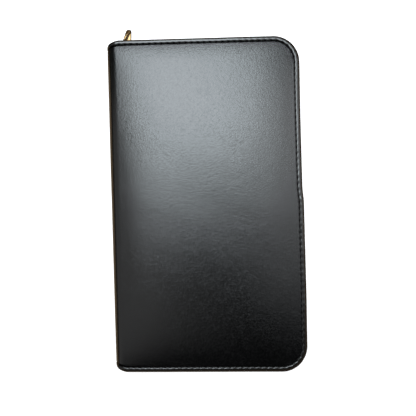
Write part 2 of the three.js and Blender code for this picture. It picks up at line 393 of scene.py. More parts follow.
LOOKS = {
    "cover_leather": cover_leather(),
    "edge_leather": edge_leather(),
    "pocket_leather": pocket_leather(),
    "lining": lining_cloth(),
    "zip_tape": zip_tape_cloth(),
    "elastic": elastic_band(),
    "thread": sewing_thread(),
    "zip_metal": brass("antique_brass", (0.52, 0.36, 0.17), (0.3, 0.2, 0.1), 0.26),
    "pull_metal": brass("polished_brass", (0.78, 0.58, 0.33), (0.6, 0.42, 0.22), 0.14),
    "board": fibre_board(),
}


# ------------------------------------------------------------ making meshes


def add_object(name, data):
    made = bpy.data.objects.new(name, data)
    bpy.context.scene.collection.objects.link(made)
    return made


def store_place(mesh, points):
    """Keeps where each point lies, in millimetres, for the material's patterns."""
    place = mesh.attributes.new("place", "FLOAT_VECTOR", "POINT")
    place.data.foreach_set("vector", np.asarray(points).astype(np.float32).ravel())


def settled(points):
    """The leather has pulled a little out of square along its bottom edge."""
    x, y, z = points.T
    pull = OUT_OF_SQUARE * (x / FORE_X) * np.clip(-y / HALF_HEIGHT, 0, 1) ** 2
    return np.column_stack([x, y - pull, z])


def add_piece(name, points, faces, look, place=None, scuff_and_reflection=None, thickness=0, smooth=True):
    """A mesh piece. `place` says where each point lies for the material's patterns."""
    points = np.asarray(points, float)
    mesh = bpy.data.meshes.new(name)
    mesh.from_pydata((settled(points) * MM).tolist(), [], [list(map(int, f)) for f in faces])
    flat = points if place is None else np.asarray(place, float)
    store_place(mesh, flat)
    scuffed_and_reflected_share = np.zeros(len(points)) if scuff_and_reflection is None else np.asarray(scuff_and_reflection, float)
    mesh.attributes.new("scuff_and_reflection", "FLOAT", "POINT").data.foreach_set("value", scuffed_and_reflected_share.astype(np.float32))
    piece = add_object(name, mesh)
    weld(piece)
    if thickness:
        thicken(piece, thickness)
    for polygon in piece.data.polygons:
        polygon.use_smooth = smooth
    piece.data.materials.clear()
    piece.data.materials.append(LOOKS[look])
    return piece


def weld(piece):
    """Joins points that lie in the same place."""
    work = bmesh.new()
    work.from_mesh(piece.data)
    bmesh.ops.remove_doubles(work, verts=work.verts, dist=0.002 * MM)
    work.to_mesh(piece.data)
    work.free()


def apply_modifiers(piece):
    graph = bpy.context.evaluated_depsgraph_get()
    made = bpy.data.meshes.new_from_object(piece.evaluated_get(graph))
    piece.modifiers.clear()
    piece.data = made


def thicken(piece, thickness):
    solid = piece.modifiers.new("thickness", "SOLIDIFY")
    solid.thickness = thickness * MM
    solid.offset = -1
    apply_modifiers(piece)


def grid_faces(rows, columns, first=0, flip=False):
    """Quads over a grid of points stored row by row."""
    faces = []
    for r in range(rows - 1):
        for c in range(columns - 1):
            a = first + r * columns + c
            quad = (a, a + columns, a + columns + 1, a + 1)
            faces.append(quad[::-1] if flip else quad)
    return faces


def facing(faces, front):
    """The back cover's faces turn the other way."""
    return faces if front else [face[::-1] for face in faces]


def tube_faces(rings, around):
    """Faces of a closed tube through rings of points, with a cap at each end."""
    faces = []
    for first in range(0, (rings - 1) * around, around):
        for a in range(around):
            b = (a + 1) % around
            faces.append((first + a, first + b, first + around + b, first + around + a))
    faces.append(tuple(range(around))[::-1])
    faces.append(tuple((rings - 1) * around + a for a in range(around)))
    return faces


# ---------------------------------------------------- the covers' edge line


def wrapped(s, y, out, front):
    """Unrolled leather to space. s runs from the fore edge over the bend and down the spine to
    its middle; out is the height above the leather's face."""
    turn = np.clip((BEND_X - s) / BEND, 0, math.pi / 2)
    drop = np.maximum(0, BEND_X - s - BEND * math.pi / 2)
    square = (np.cos(turn) ** BEND_POWER + np.sin(turn) ** BEND_POWER) ** (-1 / BEND_POWER)
    near_face = np.clip(1 + out / 4, 0, 1)
    out = out + (SPINE_BULGE * np.sin(turn) ** 4 + BEND * (square - 1)) * near_face
    x = np.maximum(s, BEND_X) - (BEND + out) * np.sin(turn)
    z = TOP_Z - BEND + (BEND + out) * np.cos(turn) - drop
    return np.column_stack([x, y, z if front else TOP_Z - z])


def spine_end(s):
    """Height of the leather's end above the middle, drawn in where it goes over the spine."""
    t = np.clip((BEND_X - s) / (BEND_X - MID_SPINE), 0, 1)
    return HALF_HEIGHT - SPINE_END_DROP * (1 - np.cos(math.pi * t)) / 2


def even_steps(length, spacing):
    """An even number of steps of about `spacing`."""
    return 2 * round(length / spacing / 2)


def fore_edge(y, corner_y):
    """The fore edge's x, with a small step where the edging's end laps over its beginning."""
    step = smoothstep((JOIN_TOP_Y - y) / (JOIN_TOP_Y - JOIN_BOTTOM_Y)) - 0.5
    return FORE_X + JOIN_STEP * step * smoothstep((corner_y - np.abs(y)) / JOIN_FADE)


class EdgeLine:
    """The three open edges, from the spine's middle at the top round the fore edge to the
    spine's middle at the bottom, with the inward direction and the stitch line's inset."""

    def __init__(self, spacing):
        corner_x = FORE_X - FORE_CORNER
        corner_y = HALF_HEIGHT - FORE_CORNER
        self.along = even_steps(corner_x - MID_SPINE, spacing)
        self.round = 2 * even_steps(FORE_CORNER * math.pi / 4, spacing)
        self.up = even_steps(2 * corner_y, spacing)
        s = np.linspace(MID_SPINE, corner_x, self.along, endpoint=False)
        s_back = np.linspace(corner_x, MID_SPINE, self.along + 1)
        y = np.linspace(corner_y, -corner_y, self.up, endpoint=False)
        upper = np.linspace(math.pi / 2, 0, self.round, endpoint=False)
        lower = -np.linspace(0, math.pi / 2, self.round, endpoint=False)
        upper_out = np.column_stack([np.cos(upper), np.sin(upper)])
        lower_out = np.column_stack([np.cos(lower), np.sin(lower)])
        points = [
            np.column_stack([s, spine_end(s)]),
            (corner_x, corner_y) + FORE_CORNER * upper_out,
            np.column_stack([fore_edge(y, corner_y), y]),
            (corner_x, -corner_y) + FORE_CORNER * lower_out,
            np.column_stack([s_back, -spine_end(s_back)]),
        ]
        inward = [
            np.tile([0.0, -1.0], (self.along, 1)),
            -upper_out,
            np.tile([-1.0, 0.0], (self.up, 1)),
            -lower_out,
            np.tile([0.0, 1.0], (self.along + 1, 1)),
        ]
        self.points = np.vstack(points)
        self.inward = np.vstack(inward)
        first, second, third = (STITCH_INSET[side] for side in ("top", "side", "bottom"))
        ease = smoothstep(np.arange(self.round) / self.round)
        self.stitch = np.concatenate(
            [
                np.full(self.along, first),
                first + (second - first) * ease,
                np.full(self.up, second),
                second + (third - second) * ease,
                np.full(self.along + 1, third),
            ]
        )
        steps = np.linalg.norm(np.diff(self.at(self.stitch), axis=0), axis=1)
        self.length = np.concatenate([[0], np.cumsum(steps)])
        self.count = len(self.points)

    def at(self, inset):
        """The points that lie `inset` inside the edge; inset is one number or one a point."""
        return self.points + self.inward * np.reshape(inset, (-1, 1))

    def holes(self):
        """How near each point of the stitch line is to a needle hole, 0 to 1."""
        from_hole = (self.length + STITCH_PITCH / 2) % STITCH_PITCH - STITCH_PITCH / 2
        return np.exp(-((from_hole / 0.75) ** 2))


EDGE = EdgeLine(SPACING)


def pillow():
    """Heights of a padded panel: a skin held round its border and blown up by a little pressure."""
    left, right, half = BEND_X - 9, FORE_X - 3, HALF_HEIGHT - 2.5
    columns, rows = 32, 56
    x = np.linspace(left, right, columns)
    y = np.linspace(-half, half, rows)
    grid = np.array([(px, py, 0) for py in y for px in x])
    mesh = bpy.data.meshes.new("skin")
    mesh.from_pydata((grid * MM).tolist(), [], grid_faces(rows, columns, flip=True))
    skin = add_object("skin", mesh)
    held = skin.vertex_groups.new(name="held")
    rim = [
        r * columns + c
        for r in range(rows)
        for c in range(columns)
        if r in (0, rows - 1) or c in (0, columns - 1)
    ]
    held.add(rim, 1.0, "REPLACE")
    cloth = skin.modifiers.new("cloth", "CLOTH")
    cloth.settings.vertex_group_mass = "held"
    cloth.settings.use_pressure = True
    cloth.settings.uniform_pressure_force = 2.0
    cloth.settings.tension_stiffness = 40
    cloth.settings.compression_stiffness = 40
    cloth.settings.effector_weights.gravity = 0
    cloth.collision_settings.use_collision = False
    scene = bpy.context.scene
    for step in range(1, 26):
        scene.frame_set(step)
    graph = bpy.context.evaluated_depsgraph_get()
    raised = skin.evaluated_get(graph).to_mesh()
    heights = np.array([v.co.z for v in raised.vertices]).reshape(rows, columns) / MM
    scene.frame_set(1)
    bpy.data.objects.remove(skin)
    x, y, heights = smoothed(x, y, heights)
    return x, y, heights * (CROWN / max(heights.max(), 1e-6))


def smoothed(x, y, heights):
    """The same heights on a grid four times as fine, with the facets of the coarse grid gone."""
    fine_x = np.linspace(x[0], x[-1], 4 * len(x))
    fine_y = np.linspace(y[0], y[-1], 4 * len(y))
    table = np.array([np.interp(fine_x, x, row) for row in heights])
    table = np.array([np.interp(fine_y, y, column) for column in table.T]).T
    for _ in range(36):
        for _ in range(2):
            held = np.pad(table, ((1, 1), (0, 0)), mode="edge")
            table = ((held[:-2] + 2 * held[1:-1] + held[2:]) / 4).T
    return fine_x, fine_y, table


PILLOW_X, PILLOW_Y, PILLOW_HEIGHT = pillow()


def crown(s, y):
    """Height of the padding under a point of the unrolled leather."""
    column = np.clip(np.interp(s, PILLOW_X, np.arange(len(PILLOW_X))), 0, len(PILLOW_X) - 1.001)
    row = np.clip(np.interp(y, PILLOW_Y, np.arange(len(PILLOW_Y))), 0, len(PILLOW_Y) - 1.001)
    c, r = column.astype(int), row.astype(int)
    dc, dr = column - c, row - r
    table = PILLOW_HEIGHT
    low = table[r, c] * (1 - dc) + table[r, c + 1] * dc
    high = table[r + 1, c] * (1 - dc) + table[r + 1, c + 1] * dc
    return low * (1 - dr) + high * dr


def ripple(s, y):
    """Slight unevenness of the hide over its padding."""
    wide = np.sin(s / 13.0 + 1.3 * np.sin(y / 31.0)) * np.sin(y / 17.0 + 0.8 * np.sin(s / 23.0))
    fine = np.sin(s / 5.3 + y / 9.1) * np.sin(y / 6.1 - s / 11.0)
    return 0.045 * wide + 0.012 * fine


def roll_off(s, y):
    """How far the padding thins towards its stitched rim and towards the spine."""
    turn = np.clip((BEND_X - s) / BEND, 0, math.pi / 2)
    fuller = 1 + LOWER_ROLL_OFF * smoothstep((LOWER_FROM_Y - y) / LOWER_OVER)
    thinner = SPINE_ROLL_OFF * np.exp((BEND_X - s) / SPINE_ROLL_OFF_WIDTH) * np.cos(turn) ** 2
    thinner = thinner * fuller
    end = spine_end(s)
    for name, inside in (("top", end - y), ("side", FORE_X - s), ("bottom", end + y)):
        within = np.maximum(0, inside - STITCH_INSET[name])
        thinner = thinner + ROLL_OFF[name] * np.exp(-within / ROLL_OFF_WIDTH) * np.cos(turn) ** 2
    return thinner


def panel_height(s, y, inside, front):
    """Height of the leather's face above its plane, `inside` millimetres within the stitch line."""
    within = np.maximum(inside, 0)
    groove = -GROOVE * np.exp(-within / GROOVE_WIDTH)
    rise = crown(s, y)
    soft = ripple(s, y) * np.clip(within / 12, 0, 1)
    if front:
        return groove + rise + soft - roll_off(s, y)
    # The back cover rests on its middle, so its padding is pressed flat there
    return groove - 0.5 * (1 - np.clip(rise / CROWN * 1.4, 0, 1))


# ------------------------------------------------- fields that fill the edge


def field(ring, columns, rows):
    """Points of a grid that fills the inside of a ring of the edge line. The ring's points run
    along the top, the fore edge and the bottom."""
    last = len(ring) - 1
    top = ring[: columns + 1]
    side = ring[columns : columns + rows + 1]
    bottom = ring[last - columns :][::-1]
    across = ((top[:, 0] - top[0, 0]) / (top[-1, 0] - top[0, 0]))[None, :, None]
    down = ((side[:, 1] - side[0, 1]) / (side[-1, 1] - side[0, 1]))[:, None, None]
    spine = top[0] + (bottom[0] - top[0]) * down[:, :, 0]
    flat = (
        (1 - down) * top[None]
        + down * bottom[None]
        + (1 - across) * spine[:, None]
        + across * side[:, None]
    )
    corners = (
        (1 - down) * (1 - across) * top[0]
        + (1 - down) * across * top[-1]
        + down * (1 - across) * bottom[0]
        + down * across * bottom[-1]
    )
    return (flat - corners).reshape(-1, 2)


def field_size():
    """Columns and rows of the field, which takes every second point of the edge line."""
    columns = (EDGE.along + EDGE.round // 2) // 2
    rows = (EDGE.up + EDGE.round) // 2
    return columns, rows


def coarse(ring):
    return ring[::2]


def add_panel(front):
    """The leather of one cover and its half of the spine, inside the stitch line."""
    side = "front" if front else "back"
    insets = [-0.25, 0, 0.35, 0.75, 1.2, 1.8, 2.6, 3.6, 5.0, 6.6]
    sheets, outs = [], []
    near_hole = EDGE.holes()
    for inside in insets:
        ring = EDGE.at(EDGE.stitch + inside)
        height = panel_height(ring[:, 0], ring[:, 1], np.full(len(ring), inside), front)
        height -= 0.22 * near_hole * math.exp(-((inside / 0.5) ** 2))
        if inside < 0:
            height -= 0.35
        sheets.append(ring)
        outs.append(height)
    count = EDGE.count
    faces = grid_faces(len(insets), count)
    inner = coarse(EDGE.at(PATCH_INSET))
    columns, rows = field_size()
    grid = field(inner, columns, rows)
    first = len(insets) * count
    ring_start = (len(insets) - 1) * count
    edge_ids = (
        [first + c for c in range(columns + 1)]
        + [first + r * (columns + 1) + columns for r in range(1, rows + 1)]
        + [first + rows * (columns + 1) + c for c in range(columns - 1, -1, -1)]
    )
    for i in range(len(inner) - 1):
        a = ring_start + 2 * i
        faces.append((a, edge_ids[i], edge_ids[i + 1], a + 2, a + 1))
    faces += grid_faces(rows + 1, columns + 1, first)
    flat = np.vstack(sheets + [grid])
    out = np.concatenate(
        outs + [panel_height(grid[:, 0], grid[:, 1], np.full(len(grid), PATCH_INSET), front)]
    )
    points = wrapped(flat[:, 0], flat[:, 1], out, front)
    place = np.column_stack([flat, np.full(len(flat), 0.0 if front else 400.0)])
    # Brown tint over the spine's bend: partly scuffing, partly a painted reflection of a warm table
    over_spine = smoothstep((BEND_X - 4 - flat[:, 0]) / 8)
    faces = facing(faces, front)
    piece = add_piece(
        side + "_leather", points, faces, "cover_leather", place=place,
        scuff_and_reflection=0.55 * over_spine, thickness=LEATHER,
    )
    nodes = [side + "_leather_cover", side + "_foam_pad"]
    if front:
        nodes.append("spine_leather")
    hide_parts(*nodes)
    return bend(piece, front)


def bend(piece, front):
    """Bakes the piece's placement into its points; the turn over the fold between the cover and the
    spine is already in the shape that wrapped gives.
    """
    if front:
        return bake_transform(piece)
    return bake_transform(piece)


# The edging's section, from its lip inside the organizer round the rim to the stitch line: the
# share of the stitch line's inset, and the height above the cover's face
EDGING_SECTION = [
    (1.85, -4.0), (1.4, -4.05), (1.0, -4.1), (0.7, -4.02), (0.45, -3.85), (0.3, -3.55),
    (0.15, -3.1), (0.05, -2.6), (0.0, -2.1), (0.0, -1.7), (0.03, -1.25), (0.08, -0.9),
    (0.15, -0.58), (0.23, -0.33), (0.31, -0.17), (0.38, -0.085), (0.46, -0.045), (0.6, -0.01),
    (0.74, 0.0), (0.86, -0.015), (0.94, -0.06), (0.98, -0.22), (1.0, -0.4), (1.05, -0.8),
]


def add_edging(front):
    """The strip of leather turned over the rim of one cover and sewn down."""
    side = "front" if front else "back"
    near_hole = EDGE.holes()
    place_y = EDGE.points[:, 1]
    on_side = smoothstep((EDGE.points[:, 0] - FORE_X + 6) / 4)
    lap = 0.35 * on_side * smoothstep((JOIN_BOTTOM_Y + 5 - place_y) / 1.2) * smoothstep(
        (place_y + 30) / 30
    )
    uneven = 0.05 * np.sin(EDGE.length / 7.0) + 0.03 * np.sin(EDGE.length / 2.9)
    points, place, scuff_and_reflection = [], [], []
    travelled = 0
    before = None
    for share, height in EDGING_SECTION:
        inset = EDGE.stitch * share if height > -3 else share * LIP
        ring = EDGE.at(inset)
        near_line = math.exp(-(((1 - share) * EDGING_WIDTH / 0.45) ** 2)) if height > -2 else 0
        on_top = 1 if height > -2 else 0
        out = height + on_top * (lap + uneven) * (1 - share**4) - 0.3 * near_hole * near_line
        if height > -1.2 and 0.3 < share < 0.9:
            out = out + 0.015 * np.cos(2 * math.pi * EDGE.length / STITCH_PITCH + math.pi)
        if before:
            travelled += math.hypot((share - before[0]) * EDGING_WIDTH, height - before[1])
        before = (share, height)
        points.append(wrapped(ring[:, 0], ring[:, 1], out, front))
        place.append(np.column_stack([ring[:, 0], ring[:, 1], np.full(len(ring), travelled)]))
        scuff_and_reflection.append(np.full(len(ring), math.exp(-(((share - 0.2) / 0.25) ** 2)) * on_top))
    faces = grid_faces(len(EDGING_SECTION), EDGE.count)
    faces = facing(faces, front)
    piece = add_piece(
        side + "_edging", np.vstack(points), faces, "edge_leather", place=np.vstack(place),
        scuff_and_reflection=np.concatenate(scuff_and_reflection), thickness=0.7,
    )
    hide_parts(side + "_edge_binding")
    return bend(piece, front)


def add_lining(front):
    """Woven lining of one cover and its half of the spine."""
    side = "front" if front else "back"
    beside_spine = smoothstep((BEND_X + 3 - EDGE.points[:, 0]) / 6)
    ring = coarse(EDGE.at(LINING_INSET + (SPINE_LINING_INSET - LINING_INSET) * beside_spine))
    columns, rows = field_size()
    grid = field(ring, columns, rows)
    s, y = grid[:, 0], grid[:, 1]
    rise = LINING_DEPTH - SPINE_LINING_DEPTH
    depth = LINING_DEPTH - rise * smoothstep((BEND_X - 1 - s) / 10)
    points = wrapped(s, y, -depth + 0.3 * ripple(2 * s, 2 * y), front)
    faces = grid_faces(rows + 1, columns + 1)
    faces = facing(faces, front)
    place = np.column_stack([grid, np.full(len(grid), 0.0 if front else 60.0)])
    piece = add_piece(
        side + "_lining_cloth", points, faces, "lining", place=place, thickness=0.45
    )
    nodes = [side + "_lining"] + (["spine_lining"] if front else [])
    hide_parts(*nodes)
    return bend(piece, front)


# ---------------------------------------------------------------- stitching


def thread_run(centres, sideways, lift):
    """One stitch: a short round thread through the given centre points. Returns its points and
    faces."""
    around = 8
    centres = np.asarray(centres, float)
    tangent = np.gradient(centres, axis=0)
    tangent /= np.linalg.norm(tangent, axis=1)[:, None]
    up = lift - (tangent * lift).sum(1)[:, None] * tangent
    up /= np.linalg.norm(up, axis=1)[:, None]
    across = np.cross(tangent, up)
    angle = np.linspace(0, 2 * math.pi, around, endpoint=False)
    size = THREAD * sideways
    rings = (
        centres[:, None]
        + size[:, None, None]
        * (np.cos(angle)[None, :, None] * across[:, None] + np.sin(angle)[None, :, None] * up[:, None])
    )
    points = rings.reshape(-1, 3)
    return points, tube_faces(len(centres), around)


class Threads:
    """Collects the stitches of one piece."""

    def __init__(self):
        self.points, self.faces, self.count = [], [], 0

    def add(self, centres, lift):
        share = np.linspace(-1, 1, len(centres))
        size = np.sqrt(np.clip(1 - share**6, 0.25, 1))
        points, faces = thread_run(centres, size, np.asarray(lift, float))
        self.points.append(points)
        self.faces += [tuple(self.count + i for i in f) for f in faces]
        self.count += len(points)

    def piece(self, name):
        return add_piece(name, np.vstack(self.points), self.faces, "thread")


def add_edge_stitching(front):
    """Stitches along the three open edges of one cover, outside and inside."""
    side = "front" if front else "back"
    threads = Threads()
    line = EDGE.at(EDGE.stitch)
    first = 14.0
    stitches = int((EDGE.length[-1] - 2 * first) / STITCH_PITCH)
    share = np.linspace(-1, 1, 7)
    for i in range(int(first / STITCH_PITCH), int(first / STITCH_PITCH) + stitches + 1):
        middle = (i + 0.5) * STITCH_PITCH
        places = middle + share * STITCH_LENGTH / 2
        s = np.interp(places, EDGE.length, line[:, 0])
        y = np.interp(places, EDGE.length, line[:, 1])
        inward = np.column_stack(
            [np.interp(places, EDGE.length, EDGE.inward[:, k]) for k in (0, 1)]
        )
        slant = 0.16 * share
        s, y = s + inward[:, 0] * slant, y + inward[:, 1] * slant
        for level, sign in ((-0.4, 1), (-4.2, -1)):
            out = level - sign * 0.45 * np.abs(share) ** 3
            centres = wrapped(s, y, out, front)
            above = wrapped(s, y, out + sign, front)
            threads.add(centres, above - centres)
    piece = threads.piece(side + "_stitching")
    return bend(piece, front)


# ---------------------------------------------------------------------- zip


def zip_line(start_x, curl, spacing):
    """The zip's line in plan, from its top end round the fore edge to its bottom end, with the
    direction into the organizer. With `curl` its ends turn inwards beside the spine."""
    radius = FORE_CORNER - ZIP_INSET
    corner_x, corner_y = FORE_X - FORE_CORNER, ZIP_Y - radius

    def steps(length):
        return max(2, round(length / spacing))

    points = []
    if curl:
        centre = (start_x + curl, ZIP_Y - curl)
        points.append((start_x, centre[1] - 3))
        for a in np.linspace(math.pi, math.pi / 2, 6, endpoint=False):
            points.append((centre[0] + curl * math.cos(a), centre[1] + curl * math.sin(a)))
        start_x += curl
    for x in np.linspace(start_x, corner_x, steps(corner_x - start_x), endpoint=False):
        points.append((x, ZIP_Y))
    for a in np.linspace(math.pi / 2, 0, steps(radius * math.pi / 2), endpoint=False):
        points.append((corner_x + radius * math.cos(a), corner_y + radius * math.sin(a)))
    for y in np.linspace(corner_y, 0, steps(corner_y), endpoint=False):
        points.append((corner_x + radius, y))
    upper = np.array(points)
    line = np.vstack([upper, [(corner_x + radius, 0)], upper[::-1] * (1, -1)])
    tangent = np.gradient(line, axis=0)
    tangent /= np.linalg.norm(tangent, axis=1)[:, None]
    inward = np.column_stack([tangent[:, 1], -tangent[:, 0]])
    length = np.concatenate([[0], np.cumsum(np.linalg.norm(np.diff(line, axis=0), axis=1))])
    return line, inward, length


def turned_over(points, front):
    """The back cover's parts are the front's turned over."""
    if front:
        return points
    return points * (1, 1, -1) + (0, 0, TOP_Z)


def add_tape(front):
    """Zip tape: sewn under the cover's rim, then standing up to the teeth."""
    side = "front" if front else "back"
    line, inward, length = zip_line(TAPE_END_X, TAPE_CURL, 1.2)
    low = TAPE_BOTTOM_Z
    section = [
        (-3.3, 19.75), (-2.4, 19.7), (-1.4, 19.35), (-0.7, 18.8), (-0.35, 18.1), (-0.3, 17.2),
        (-0.3, 16.2), (-0.3, low + 0.7), (-0.5, low + 0.3), (-0.5, low - 0.2), (-0.25, low - 0.4),
    ]
    curled = smoothstep((line[:, 0] - TAPE_END_X - 1) / 5)
    rings, place = [], []
    run = 0
    for i, (out, z) in enumerate(section):
        if i:
            run += math.hypot(out - section[i - 1][0], z - section[i - 1][1])
        shift = np.where(out < -0.6, -0.6 + (out + 0.6) * curled, out)
        plan = line + inward * shift[:, None]
        rings.append(np.column_stack([plan, np.full(len(plan), z)]))
        place.append(np.column_stack([length, np.full(len(plan), run), np.full(len(plan), run)]))
    faces = grid_faces(len(section), len(line), flip=front)
    points = turned_over(np.vstack(rings), front)
    piece = add_piece(
        side + "_tape", points, faces, "zip_tape", place=np.vstack(place), thickness=TAPE
    )
    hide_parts(side + "_zip_tape")
    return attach(piece, side)


def tooth(low, high):
    """Points (along, across, z) and faces of one tooth: a broad foot and a rounded head."""
    tall = high - low
    section = [
        (-1.25, high), (-1.25, low + 0.5 * tall), (-0.95, low + 0.3 * tall), (-0.9, low + 0.2),
        (-0.7, low), (0.7, low), (0.9, low + 0.2), (0.95, low + 0.3 * tall),
        (1.25, low + 0.5 * tall), (1.25, high),
    ]
    half = TOOTH_LENGTH / 2
    middle = np.mean(section, axis=0)
    rings = []
    for along, size in ((-half, 0.86), (-half + 0.14, 1), (half - 0.14, 1), (half, 0.86)):
        rings.append([(along, *(middle + (np.array(p) - middle) * size)) for p in section])
    return np.array(rings).reshape(-1, 3), tube_faces(len(rings), len(section))


def add_teeth(front):
    """A row of brass teeth. They mesh with the other row, except where the slider runs."""
    side = "front" if front else "back"
    line, inward, length = zip_line(TEETH_START_X, 0, 0.6)
    points, faces, count = [], [], 0
    shift = 0.5 if front else 0.0
    teeth = int(length[-1] / TOOTH_PITCH - shift - 0.3)
    for i in range(teeth):
        at = (i + 0.5 + shift) * TOOTH_PITCH
        x, y = (np.interp(at, length, line[:, k]) for k in (0, 1))
        inner = np.array([np.interp(at, length, inward[:, k]) for k in (0, 1)])
        inner /= np.linalg.norm(inner)
        forward = np.array([-inner[1], inner[0]])
        in_run = y > 0 and x < RUN_END_X
        low = MIDDLE_Z + (RUN_GAP if in_run else -INTERLEAVE)
        body, sides = tooth(low, TEETH_TOP_Z + TOOTH_PROUD)
        plan = (x, y) + body[:, :1] * forward + body[:, 1:2] * inner
        points.append(np.column_stack([plan, body[:, 2]]))
        faces += [tuple(count + k for k in f) for f in sides]
        count += len(body)
    faces = facing(faces, front)
    points = turned_over(np.vstack(points), front)
    piece = add_piece(side + "_teeth", points, faces, "zip_metal", smooth=False)
    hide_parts(side + "_zip_teeth")
    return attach(piece, side)


def polished(node, name, look, body, radius, smooth_angle=40):
    """A CAD piece's shape with its edges rounded."""
    mesh = frame["nodes"][node].data.copy()
    mesh.name = name
    piece = add_object(name, mesh)
    work = bmesh.new()
    work.from_mesh(mesh)
    bmesh.ops.remove_doubles(work, verts=work.verts, dist=0.01 * MM)
    bmesh.ops.dissolve_limit(
        work, angle_limit=math.radians(2), verts=work.verts, edges=work.edges
    )
    work.to_mesh(mesh)
    work.free()
    if radius:
        edges = piece.modifiers.new("edges", "BEVEL")
        edges.width = radius * MM
        edges.segments = 3
        edges.limit_method = "ANGLE"
        edges.angle_limit = math.radians(35)
        apply_modifiers(piece)
    mesh = piece.data
    mesh.shade_smooth()
    mesh.set_sharp_from_angle(angle=math.radians(smooth_angle))
    flat = np.array([v.co for v in mesh.vertices]) / MM
    store_place(mesh, flat)
    mesh.materials.clear()
    mesh.materials.append(LOOKS[look])
    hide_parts(node)
    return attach(piece, body)


# --------------------------------------------------------------------- pull


def add_pull():
    """The pull: a teardrop with a raised ridge from its eye to its tip, on both faces."""
    steps = 28
    head_y = PULL_HEAD - 0.55
    tip_y = PULL_LENGTH - PULL_TIP
    hole_y = 1.45
    reach = math.asin((PULL_HEAD - PULL_TIP) / (tip_y - head_y))
    head = [
        (PULL_HEAD * math.sin(a), head_y - PULL_HEAD * math.cos(a))
        for a in np.linspace(0, math.pi / 2 + reach, steps // 2)
    ]
    tip = [
        (PULL_TIP * math.sin(a), tip_y - PULL_TIP * math.cos(a))
        for a in np.linspace(math.pi / 2 + reach, math.pi, steps // 2)
    ]
    rim = np.array(head + tip)
    eye = [
        (PULL_HOLE * math.sin(a), hole_y - PULL_HOLE * math.cos(a))
        for a in np.linspace(0, math.pi, steps // 2)
    ]
    ridge_y = np.linspace(hole_y + PULL_HOLE, tip_y + 0.5, steps // 2 + 1)[1:]
    ridge_x = np.interp(ridge_y, (hole_y, hole_y + 6.5, tip_y), PULL_RIDGE_X)
    ridge = np.column_stack([ridge_x, ridge_y])
    core_height = np.concatenate(
        [
            np.full(len(eye), 0.55),
            np.interp(np.arange(len(ridge)), (0, 4, len(ridge) - 1), (0.7, PULL_RIDGE, 1.0)),
        ]
    )
    levels = (
        (0, core_height),
        (0.25, core_height - 0.05),
        (0.86, core_height * 0.14 + (PULL_EDGE + 0.14) * 0.86),
        (1, np.full(len(rim), PULL_EDGE)),
    )
    points, faces = [], []
    n, rings = len(rim), len(levels)
    for mirror in (1, -1):
        outer = rim * (mirror, 1)
        inner = np.vstack([np.array(eye) * (mirror, 1), ridge])
        top = len(points)
        bottom = top + rings * n
        for face in (1, -1):
            for share, height in levels:
                plan = inner + (outer - inner) * share
                points += [(x, y, face * h) for (x, y), h in zip(plan, height)]
        made = grid_faces(rings, n, top, flip=True) + grid_faces(rings, n, bottom)
        rim_top, rim_bottom = top + (rings - 1) * n, bottom + (rings - 1) * n
        for i in range(n - 1):
            made.append((rim_top + i, rim_top + i + 1, rim_bottom + i + 1, rim_bottom + i))
        for i in range(len(eye) - 1):
            made.append((top + i, bottom + i, bottom + i + 1, top + i + 1))
        faces += [f[::mirror] for f in made]
    local = np.array(points)
    x, y, z = local.T
    leaning_x = x * math.cos(PULL_LEAN) + y * math.sin(PULL_LEAN)
    leaning_y = y * math.cos(PULL_LEAN) - x * math.sin(PULL_LEAN)
    dropped_y = leaning_y * math.cos(PULL_DROP) + z * math.sin(PULL_DROP)
    dropped_z = z * math.cos(PULL_DROP) - leaning_y * math.sin(PULL_DROP)
    axis = pull_axis()
    placed = np.column_stack([leaning_x, dropped_y, dropped_z]) + axis
    piece = add_piece("pull", placed, faces, "pull_metal", place=local, smooth=True)
    piece.data.set_sharp_from_angle(angle=math.radians(8))
    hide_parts("pull_tab")
    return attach(piece, "pull")


def pull_axis():
    joint = next(j for j in frame["joints"] if j["name"] == "pull_swing")
    return np.array(joint["pos_m"]) / MM


# ------------------------------------------------------------------ pockets


def border_steps(length, spacing):
    """Positions across a panel, close together at its borders."""
    rim = [0, 0.12, 0.35, 0.7, 1.2, 1.9, 2.6]
    inner = np.linspace(3.4, length - 3.4, max(3, round((length - 6.8) / spacing)))
    return np.concatenate([rim, inner, length - np.array(rim[::-1])])


